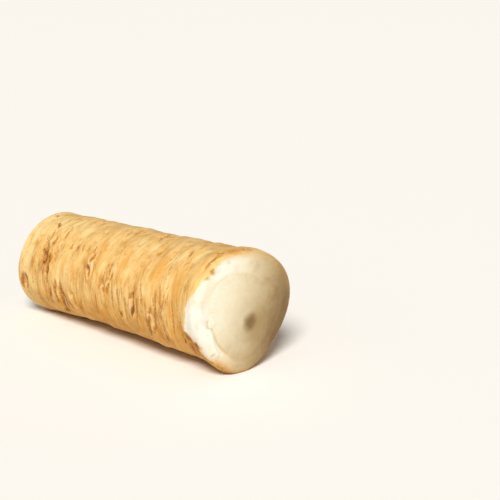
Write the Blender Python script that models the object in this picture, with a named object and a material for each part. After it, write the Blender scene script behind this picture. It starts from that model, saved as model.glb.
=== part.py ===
"""Horseradish root: one length of the thick tap root, cut across at both ends and lying on its side.

Metres, +Z up. The root's axis runs along X, with the thicker cut at +X. The origin is on the floor, under
the middle of the root's box. The root grew as one piece, so it is one solid: bark with its growth rings
and the scars of its side roots, and the flesh that shows at both cuts.

Places on the root are given as a distance along it from the thin cut, and an angle round its axis that
starts at +Y and passes +Z. The side seen from the front, -Y, is at 180 degrees.
"""

import math

import bmesh
import bpy
from mathutils import Euler, Matrix, Vector, noise
from mathutils.bvhtree import BVHTree
from mathutils.interpolate import poly_3d_calc

# Driving dimensions
LENGTH = 0.114
THIN_RADIUS = 0.0213
THICK_RADIUS = 0.0222

# Form of the body
FLARE_HEIGHT = 0.0015
FLARE_REACH = 0.0085
KEEL_HEIGHT = 0.0016
KEEL_REACH = 0.019
KEEL_ANGLE = math.radians(262)
LIP_HEIGHT = 0.0021
LIP_REACH = 0.005
HOLLOW_DEPTH = 0.0015
HOLLOW_CENTRE = 0.040
HOLLOW_REACH = 0.032
HOLLOW_ANGLE = math.radians(252)
THIN_OVAL = (0.0005, math.radians(30))
THICK_OVAL = (0.0006, math.radians(-3))
THICK_LOBES = (0.0009, math.radians(20))
LUMP_HEIGHT = 0.0004
LUMP_SIZE = 0.022
SAG = 0.0006
DROOP = 0.0009
REST_DEPTH = 0.0006

# Cuts: how far each leans from square, the rise of its middle, and its rounded edge along and across
LEAN_REACH = 0.030
THICK_LEAN = (0.110, 0.004)
THIN_LEAN = (0.017, 0.029)
THICK_DOME = 0.0017
THIN_DOME = 0.0006
THICK_EDGE = (0.0076, 0.0034)
THIN_EDGE = (0.0020, 0.0028)
EDGE_SWEEP = math.radians(80)

# The cambium ring that shows as a faint groove in both cuts, by its share of the cut
CAMBIUM_SHARE = 0.87
CAMBIUM_DEPTH = 0.0003
CAMBIUM_WIDTH = 0.05

# Growth rings: spacing along the root, reach round it, and height
BROAD_RINGS = (0.0095, 0.030, 0.00045)
NARROW_RINGS = (0.0042, 0.018, 0.00040)
RING_SWAY = 0.0016
RING_SWAY_SIZE = 0.016
THIN_FADE = 0.0030
THICK_FADE = 0.0080

# The photo: its width in pixels, and where the camera stood, how it was turned and how wide it saw
PHOTO_WIDTH = 500
CAMERA_PLACE = Vector((0.34096, -0.30042, 0.17071))
CAMERA_ELEVATION = math.radians(16.58)
CAMERA_AZIMUTH = math.radians(43.34)
CAMERA_FIELD = math.radians(24)

# Scars of side roots and cracks in the bark that the photo shows: the pixel at the middle of each, and its
# length round the root, width and depth
SEEN_SCARS = (
    ((57.6, 227.0), 0.0060, 0.0030, 0.0006),
    ((53.8, 241.0), 0.0070, 0.0036, 0.0007),
    ((45.4, 254.0), 0.0066, 0.0032, 0.0010),
    ((46.9, 266.0), 0.0064, 0.0030, 0.0009),
    ((54.0, 255.0), 0.0090, 0.0024, 0.0005),
    ((24.6, 280.0), 0.0066, 0.0038, 0.0009),
    ((56.3, 287.0), 0.0052, 0.0026, 0.0007),
    ((63.4, 297.0), 0.0080, 0.0046, 0.0008),
    ((71.2, 295.0), 0.0046, 0.0024, 0.0005),
    ((73.4, 250.6), 0.0044, 0.0030, 0.0005),
    ((93.0, 256.6), 0.0054, 0.0026, 0.0007),
    ((88.0, 269.5), 0.0060, 0.0026, 0.0008),
    ((107.8, 275.0), 0.0058, 0.0026, 0.0007),
    ((102.8, 287.2), 0.0070, 0.0026, 0.0007),
    ((121.2, 314.6), 0.0030, 0.0024, 0.0005),
    ((132.7, 304.0), 0.0092, 0.0026, 0.0010),
    ((152.6, 321.4), 0.0100, 0.0042, 0.0008),
    ((162.6, 303.0), 0.0090, 0.0022, 0.0004),
    ((219.6, 254.6), 0.0054, 0.0028, 0.0007),
    ((195.6, 348.0), 0.0100, 0.0036, 0.0007),
)
# Scars that the photo doesn't show: distance along the root, angle in degrees, length, width and depth
HIDDEN_SCARS = (
    (0.0240, 232, 0.0090, 0.0032, 0.0008),
    (0.0500, 226, 0.0070, 0.0028, 0.0006),
    (0.0120, 258, 0.0080, 0.0030, 0.0006),
    (0.0690, 262, 0.0110, 0.0034, 0.0008),
    (0.0405, 288, 0.0080, 0.0030, 0.0007),
    (0.0880, 305, 0.0090, 0.0032, 0.0008),
    (0.0180, 322, 0.0120, 0.0036, 0.0009),
    (0.0590, 338, 0.0090, 0.0028, 0.0008),
    (0.0330, 2, 0.0100, 0.0034, 0.0009),
    (0.0790, 14, 0.0120, 0.0036, 0.0009),
    (0.0110, 34, 0.0070, 0.0030, 0.0007),
    (0.0520, 46, 0.0100, 0.0034, 0.0009),
    (0.0950, 58, 0.0080, 0.0028, 0.0007),
    (0.0300, 76, 0.0110, 0.0034, 0.0009),
    (0.0700, 92, 0.0070, 0.0028, 0.0006),
)
SCAR_LIP = 0.30

# Mesh
SIDES = 68
SIDE_ROWS = 66
THIN_EDGE_ROWS = 4
THICK_EDGE_ROWS = 7
FACE_SHARES = (0.94, 0.87, 0.80, 0.50, 0.25)
MATERIAL_COLOUR = (0.76, 0.45, 0.16, 1.0)
MATERIAL_ROUGHNESS = 0.62


def bell(distance, reach):
    """A smooth hump: 1 at no distance, and almost 0 at twice the reach."""
    return math.exp(-((distance / reach) ** 2))


def facing(angle, towards, power):
    """1 where an angle points towards another, falling to 0 a quarter turn away, sooner for a high power."""
    return max(0.0, math.cos(angle - towards)) ** power


def lobed(angle, lobes, form):
    """Height of the lobes of an oval or three-sided section."""
    height, first = form
    return height * math.cos(lobes * (angle - first))


def body_radius(along, angle):
    """Radius of the root without its bark relief."""
    ripeness = along / LENGTH
    radius = THIN_RADIUS + (THICK_RADIUS - THIN_RADIUS) * ripeness
    radius += lobed(angle, 2, THIN_OVAL) * (1 - ripeness)
    radius += lobed(angle, 2, THICK_OVAL) * ripeness
    radius += lobed(angle, 3, THICK_LOBES) * ripeness**3
    radius -= HOLLOW_DEPTH * bell(along - HOLLOW_CENTRE, HOLLOW_REACH) * facing(angle, HOLLOW_ANGLE, 2)
    to_cut = LENGTH - along
    radius += FLARE_HEIGHT * bell(to_cut, FLARE_REACH)
    radius += KEEL_HEIGHT * bell(to_cut, KEEL_REACH) * facing(angle, KEEL_ANGLE, 6)
    radius += LIP_HEIGHT * bell(to_cut, LIP_REACH) * facing(angle, KEEL_ANGLE, 4)
    place = Vector((along, THIN_RADIUS * math.cos(angle), THIN_RADIUS * math.sin(angle)))
    return radius + LUMP_HEIGHT * noise.noise(place / LUMP_SIZE)


def ring_height(along, angle):
    """Height of the growth rings: long low waves that run round the root, and narrower ones between."""
    around = Vector((0.0, THIN_RADIUS * math.cos(angle), THIN_RADIUS * math.sin(angle)))
    swayed = along + RING_SWAY * noise.noise((around + Vector((along, 0.0, 0.0))) / RING_SWAY_SIZE)
    height = 0.0
    for spacing, reach, rise in (BROAD_RINGS, NARROW_RINGS):
        height += rise * noise.noise(around / reach + Vector((swayed / spacing, 0.0, 0.0)))
    return height


def scar_height(along, angle, scar):
    """Height of one scar: a hollow shaped like a lens that lies round the root, with a raised lip."""
    scar_along, scar_angle, length, width, depth = scar
    turn = (angle - math.radians(scar_angle) + math.pi) % (2 * math.pi) - math.pi
    out = math.hypot(turn * THIN_RADIUS / (length / 2), (along - scar_along) / (width / 2))
    return depth * (SCAR_LIP * bell(out - 1.2, 0.5) - bell(out, 0.75))


def relief(along, angle, scars):
    """Height of the bark above the body, fading out at both cuts."""
    height = ring_height(along, angle) + sum(scar_height(along, angle, scar) for scar in scars)
    return height * min(1.0, along / THIN_FADE, (LENGTH - along) / THICK_FADE)


def cut_rise(share, dome):
    """How far a cut stands out at this share of its radius: a low dome with the cambium's groove in it."""
    return dome * (1 - share**2) - CAMBIUM_DEPTH * bell(share - CAMBIUM_SHARE, CAMBIUM_WIDTH)


def shaped(along, share, angle, scars):
    """Where a point of the blank ends up, from its distance along, its share of the radius and its angle."""
    radius = share * (body_radius(along, angle) + relief(along, angle, scars))
    y = radius * math.cos(angle)
    z = radius * math.sin(angle)
    x = along
    x += (THICK_LEAN[0] * y + THICK_LEAN[1] * z) * max(0.0, 1 - (LENGTH - along) / LEAN_REACH)
    x += (THIN_LEAN[0] * y + THIN_LEAN[1] * z) * max(0.0, 1 - along / LEAN_REACH)
    if along == LENGTH:
        x += cut_rise(share / rim_share(THICK_EDGE, THICK_RADIUS), THICK_DOME)
    if along == 0.0:
        x -= cut_rise(share / rim_share(THIN_EDGE, THIN_RADIUS), THIN_DOME)
    ripeness = along / LENGTH
    z -= SAG * (1 - (2 * ripeness - 1) ** 2) + DROOP * ripeness**2
    return Vector((x - LENGTH / 2, y, z))


def rim_share(edge, radius):
    """Share of the radius at which a rounded edge meets the cut."""
    return 1 - edge[1] / radius * (1 - math.cos(EDGE_SWEEP))


def rounded_edge(edge, radius, rows):
    """(distance from the cut, share of the radius) round an edge, from the side to the cut."""
    points = []
    for row in range(rows + 1):
        turn = EDGE_SWEEP * row / rows
        inset = edge[0] * (1 - math.sin(turn) / math.sin(EDGE_SWEEP))
        points.append((inset, 1 - edge[1] / radius * (1 - math.cos(turn))))
    return points


def blank_profile():
    """Half the outline of the blank, as (distance along it, share of the radius), from thin cut to thick."""
    thin_edge = rounded_edge(THIN_EDGE, THIN_RADIUS, THIN_EDGE_ROWS)
    thick_edge = rounded_edge(THICK_EDGE, THICK_RADIUS, THICK_EDGE_ROWS)
    side = LENGTH - THIN_EDGE[0] - THICK_EDGE[0]
    thin_rim = rim_share(THIN_EDGE, THIN_RADIUS)
    thick_rim = rim_share(THICK_EDGE, THICK_RADIUS)
    profile = [(0.0, 0.0)]
    profile += [(0.0, thin_rim * share) for share in reversed(FACE_SHARES)]
    profile += reversed(thin_edge)
    profile += [(THIN_EDGE[0] + side * row / SIDE_ROWS, 1.0) for row in range(1, SIDE_ROWS)]
    profile += [(LENGTH - inset, share) for inset, share in thick_edge]
    profile += [(LENGTH, thick_rim * share) for share in FACE_SHARES]
    profile += [(LENGTH, 0.0)]
    return profile


def turn_blank(bm):
    """Spins the profile into a round blank whose side has radius 1."""
    points = [bm.verts.new((along, share, 0.0)) for along, share in blank_profile()]
    edges = [bm.edges.new(pair) for pair in zip(points, points[1:])]
    bmesh.ops.spin(
        bm,
        geom=points + edges,
        cent=(0.0, 0.0, 0.0),
        axis=(1.0, 0.0, 0.0),
        angle=2 * math.pi,
        steps=SIDES,
        use_merge=True,
    )
    bmesh.ops.remove_doubles(bm, verts=bm.verts, dist=1e-6)
    bmesh.ops.recalc_face_normals(bm, faces=bm.faces)


def shape_root(bm, scars):
    """Moves each point of the blank to its place on the root."""
    for vert in bm.verts:
        along, y, z = vert.co
        if along > LENGTH - 1e-6:
            along = LENGTH
        if along < 1e-6:
            along = 0.0
        vert.co = shaped(along, math.hypot(y, z), math.atan2(z, y), scars)


def lay_down(bm):
    """Tips the root until both its ends touch the floor, and presses them a little flat there."""
    places = sorted((vert.co for vert in bm.verts), key=lambda place: place.z)
    thin_foot = next(place for place in places if place.x < -LENGTH / 4)
    thick_foot = next(place for place in places if place.x > LENGTH / 4)
    tip = math.atan2(thick_foot.z - thin_foot.z, thick_foot.x - thin_foot.x)
    bmesh.ops.rotate(bm, verts=bm.verts, cent=(0.0, 0.0, 0.0), matrix=Matrix.Rotation(tip, 3, "Y"))
    lowest = min(vert.co.z for vert in bm.verts)
    for vert in bm.verts:
        vert.co.z = max(0.0, vert.co.z - lowest - REST_DEPTH)


def centre(bm):
    """Moves the root until the middle of its box is over the origin."""
    for axis in range(2):
        places = [vert.co[axis] for vert in bm.verts]
        middle = (min(places) + max(places)) / 2
        for vert in bm.verts:
            vert.co[axis] -= middle


def laid_root(scars):
    """The root in its place, and where each of its points lay on the blank."""
    bm = bmesh.new()
    turn_blank(bm)
    blank = [vert.co.copy() for vert in bm.verts]
    shape_root(bm, scars)
    lay_down(bm)
    centre(bm)
    return bm, blank


def towards_pixel(pixel):
    """Direction of the camera's ray through a pixel of the photo."""
    reach = math.tan(CAMERA_FIELD / 2)
    across, down = (reach * (value / (PHOTO_WIDTH / 2) - 1) for value in pixel)
    ray = Vector((across, -down, -1.0))
    ray.rotate(Euler((math.pi / 2 - CAMERA_ELEVATION, 0.0, CAMERA_AZIMUTH)))
    return ray


def place_scars():
    """All scars by their places on the root: the camera's rays find those that the photo shows."""
    bm, blank = laid_root(())
    bm.verts.index_update()
    bm.faces.ensure_lookup_table()
    skin = BVHTree.FromBMesh(bm)
    scars = list(HIDDEN_SCARS)
    for pixel, length, width, depth in SEEN_SCARS:
        hit, _, index, _ = skin.ray_cast(CAMERA_PLACE, towards_pixel(pixel))
        corners = bm.faces[index].verts
        weights = poly_3d_calc([corner.co for corner in corners], hit)
        place = sum((blank[corner.index] * weight for corner, weight in zip(corners, weights)), Vector())
        scars.append((place.x, math.degrees(math.atan2(place.z, place.y)), length, width, depth))
    bm.free()
    return scars


def bark_material():
    material = bpy.data.materials.new("bark")
    material.use_nodes = True
    shader = material.node_tree.nodes["Principled BSDF"]
    shader.inputs["Base Color"].default_value = MATERIAL_COLOUR
    shader.inputs["Roughness"].default_value = MATERIAL_ROUGHNESS
    shader.inputs["Metallic"].default_value = 0.0
    return material


def make_root():
    bm, _ = laid_root(place_scars())
    bmesh.ops.triangulate(bm, faces=bm.faces)
    mesh = bpy.data.meshes.new("root")
    bm.to_mesh(mesh)
    bm.free()
    mesh.shade_smooth()
    mesh.materials.append(bark_material())
    root = bpy.data.objects.new("root", mesh)
    bpy.context.scene.collection.objects.link(root)


for leftover in list(bpy.data.objects):
    bpy.data.objects.remove(leftover)
make_root()
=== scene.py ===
# Horseradish root: one length of the thick tap root, cut across at both ends and lying on its side
# Metres, +Z up. A place on the root is a distance along it from the thin cut, and an angle round its axis
# that starts at +Y and passes +Z, so the side nearest the camera is at 180 degrees
import math
import random

import bmesh
import bpy
from mathutils import Euler, Matrix, Vector, noise
from mathutils.bvhtree import BVHTree
from mathutils.interpolate import poly_3d_calc


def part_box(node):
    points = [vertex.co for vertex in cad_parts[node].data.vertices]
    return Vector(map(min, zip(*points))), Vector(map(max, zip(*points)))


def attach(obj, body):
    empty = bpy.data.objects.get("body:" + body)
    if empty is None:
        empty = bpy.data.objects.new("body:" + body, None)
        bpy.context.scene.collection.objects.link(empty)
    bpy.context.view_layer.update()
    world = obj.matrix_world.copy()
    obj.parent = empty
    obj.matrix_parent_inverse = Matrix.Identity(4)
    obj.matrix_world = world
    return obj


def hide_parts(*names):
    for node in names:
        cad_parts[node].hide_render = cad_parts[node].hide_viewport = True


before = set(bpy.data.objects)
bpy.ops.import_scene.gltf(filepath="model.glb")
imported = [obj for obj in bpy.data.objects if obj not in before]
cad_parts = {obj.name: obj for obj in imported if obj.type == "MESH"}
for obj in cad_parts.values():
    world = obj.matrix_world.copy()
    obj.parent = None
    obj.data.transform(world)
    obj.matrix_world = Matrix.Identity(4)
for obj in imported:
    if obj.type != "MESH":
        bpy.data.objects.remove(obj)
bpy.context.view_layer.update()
print("frame loaded")

# Colours and shader nodes


def paint(colour):
    # a colour as a picture shows it, 0 to 255, as the light values a shader takes
    shares = [value / 255 for value in colour]
    return tuple(s / 12.92 if s <= 0.04045 else ((s + 0.055) / 1.055) ** 2.4 for s in shares) + (1.0,)


def newMaterial(name):
    material = bpy.data.materials.new(name)
    material.use_nodes = True
    tree = material.node_tree
    return material, tree, tree.nodes["Principled BSDF"].inputs


def addNode(tree, kind, **settings):
    node = tree.nodes.new(kind)
    for name, value in settings.items():
        setattr(node, name, value)
    return node


def feed(tree, socket, value):
    # a link where the value is another node's output, else a plain setting
    if isinstance(value, bpy.types.NodeSocket):
        tree.links.new(value, socket)
    else:
        socket.default_value = value


def feedAll(tree, node, *values):
    for socket, value in zip(node.inputs, values):
        feed(tree, socket, value)
    return node.outputs


def sums(tree, operation, first, second=0.0):
    return feedAll(tree, addNode(tree, "ShaderNodeMath", operation=operation), first, second)[0]


def vectors(tree, operation, *values):
    outputs = feedAll(tree, addNode(tree, "ShaderNodeVectorMath", operation=operation), *values)
    return outputs["Value" if operation == "DISTANCE" else "Vector"]


def total(tree, *values):
    result = values[0]
    for value in values[1:]:
        result = sums(tree, "ADD", result, value)
    return result


def product(tree, *values):
    result = values[0]
    for value in values[1:]:
        result = sums(tree, "MULTIPLY", result, value)
    return result


def scaled(tree, value, size, middle=0.0):
    # a value's distance from a middle, times a size
    return product(tree, sums(tree, "SUBTRACT", value, middle), size)


def eased(tree, value, low, high, toLow=0.0, toHigh=1.0, straight=False):
    node = addNode(tree, "ShaderNodeMapRange", interpolation_type="LINEAR" if straight else "SMOOTHSTEP")
    return feedAll(tree, node, value, low, high, toLow, toHigh)["Result"]


def blended(tree, share, first, second, way="MIX"):
    node = addNode(tree, "ShaderNodeMix", data_type="RGBA", blend_type=way)
    feed(tree, node.inputs[0], share)
    feed(tree, node.inputs[6], first)
    feed(tree, node.inputs[7], second)
    return node.outputs[2]


def attribute(tree, name, output):
    node = addNode(tree, "ShaderNodeAttribute", attribute_type="GEOMETRY", attribute_name=name)
    return node.outputs[output]


def alongAcrossUp(tree, place):
    return feedAll(tree, addNode(tree, "ShaderNodeSeparateXYZ"), place)


def noiseAt(tree, place, scale, detail, rough=0.5, dimensions="3D"):
    node = addNode(tree, "ShaderNodeTexNoise", noise_dimensions=dimensions)
    feed(tree, node.inputs["W" if dimensions == "1D" else "Vector"], place)
    feed(tree, node.inputs["Scale"], scale)
    feed(tree, node.inputs["Detail"], detail)
    feed(tree, node.inputs["Roughness"], rough)
    return node.outputs["Fac"]


def grainNoise(tree, place, name):
    # one of the noises that the finish lists
    along, around, offset, detail, rough = finish["grains"][name]
    mapping = addNode(tree, "ShaderNodeMapping")
    feed(tree, mapping.inputs["Vector"], place)
    feed(tree, mapping.inputs["Location"], (offset, offset * 0.7, offset * 1.3))
    feed(tree, mapping.inputs["Scale"], (1000 / along, 1000 / around, 1000 / around))
    return noiseAt(tree, mapping.outputs["Vector"], 1.0, detail, rough)


def ramped(tree, value, stops):
    # colours along a scale, with the scale's ends taken from the first and last stop
    low, high = stops[0][0], stops[-1][0]
    node = addNode(tree, "ShaderNodeValToRGB")
    feed(tree, node.inputs[0], eased(tree, value, low, high, straight=True))
    points = node.color_ramp.elements
    while len(points) < len(stops):
        points.new(1.0)
    for point, (place, colour) in zip(points, stops):
        point.position = (place - low) / (high - low)
        point.color = paint(colour)
    return node.outputs[0]


# Camera, floor and light

view = {
    "photoWidth": 500,  # pixels
    "place": (0.34096, -0.30042, 0.17071),
    "azimuth": 43.34,  # degrees, as the next two
    "elevation": 16.58,
    "fieldOfView": 24.0,
}

studio = {
    "floorColour": (250, 249, 247),
    "floorBounce": (222, 218, 211),
    "floorRoughness": 0.9,
    "floorShine": 0.1,
    "floorSize": 12.0,
    "worldColour": (255, 247, 236),
    "worldStrength": 0.27,
    "keyFrom": (0.42, -0.55, 0.72),  # where the light shines from
    "keyStrength": 3.3,
    "keySpread": 22,  # degrees across, which softens the shadow
    "keyColour": (255, 253, 248),
}


def cameraTurn():
    return Euler((math.radians(90 - view["elevation"]), 0.0, math.radians(view["azimuth"])))


def addCamera():
    lens = bpy.data.cameras.new("camera")
    lens.sensor_fit = "HORIZONTAL"
    lens.angle = math.radians(view["fieldOfView"])
    lens.clip_start = 0.01
    camera = bpy.data.objects.new("camera", lens)
    camera.location = view["place"]
    camera.rotation_euler = cameraTurn()
    bpy.context.scene.collection.objects.link(camera)
    bpy.context.scene.camera = camera


def addKeyLight():
    lamp = bpy.data.lights.new("key", "SUN")
    lamp.angle = math.radians(studio["keySpread"])
    lamp.energy = studio["keyStrength"]
    lamp.color = paint(studio["keyColour"])[:3]
    light = bpy.data.objects.new("key", lamp)
    light.location = Vector(studio["keyFrom"])
    light.rotation_euler = (-light.location).to_track_quat("-Z", "Y").to_euler()
    bpy.context.scene.collection.objects.link(light)


def floorMaterial():
    # pale to the eye, but throwing less light back than it shows
    material, tree, inputs = newMaterial("paleFloor")
    seen = addNode(tree, "ShaderNodeLightPath").outputs["Is Camera Ray"]
    colour = blended(tree, seen, paint(studio["floorBounce"]), paint(studio["floorColour"]))
    feed(tree, inputs["Base Color"], colour)
    feed(tree, inputs["Roughness"], studio["floorRoughness"])
    feed(tree, inputs["Specular IOR Level"], studio["floorShine"])
    return material


def addStudio():
    scene = bpy.context.scene
    scene.view_settings.view_transform = "Standard"
    world = bpy.data.worlds.new("studio")
    world.use_nodes = True
    backdrop = world.node_tree.nodes["Background"]
    backdrop.inputs["Color"].default_value = paint(studio["worldColour"])
    backdrop.inputs["Strength"].default_value = studio["worldStrength"]
    scene.world = world
    addKeyLight()

    bm = bmesh.new()
    bmesh.ops.create_grid(bm, x_segments=1, y_segments=1, size=studio["floorSize"] / 2)
    mesh = bpy.data.meshes.new("floor")
    bm.to_mesh(mesh)
    bm.free()
    floor = bpy.data.objects.new("floor", mesh)
    scene.collection.objects.link(floor)
    mesh.materials.append(floorMaterial())


addCamera()
addStudio()
print("camera, floor and light")

# The root's shape

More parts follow.
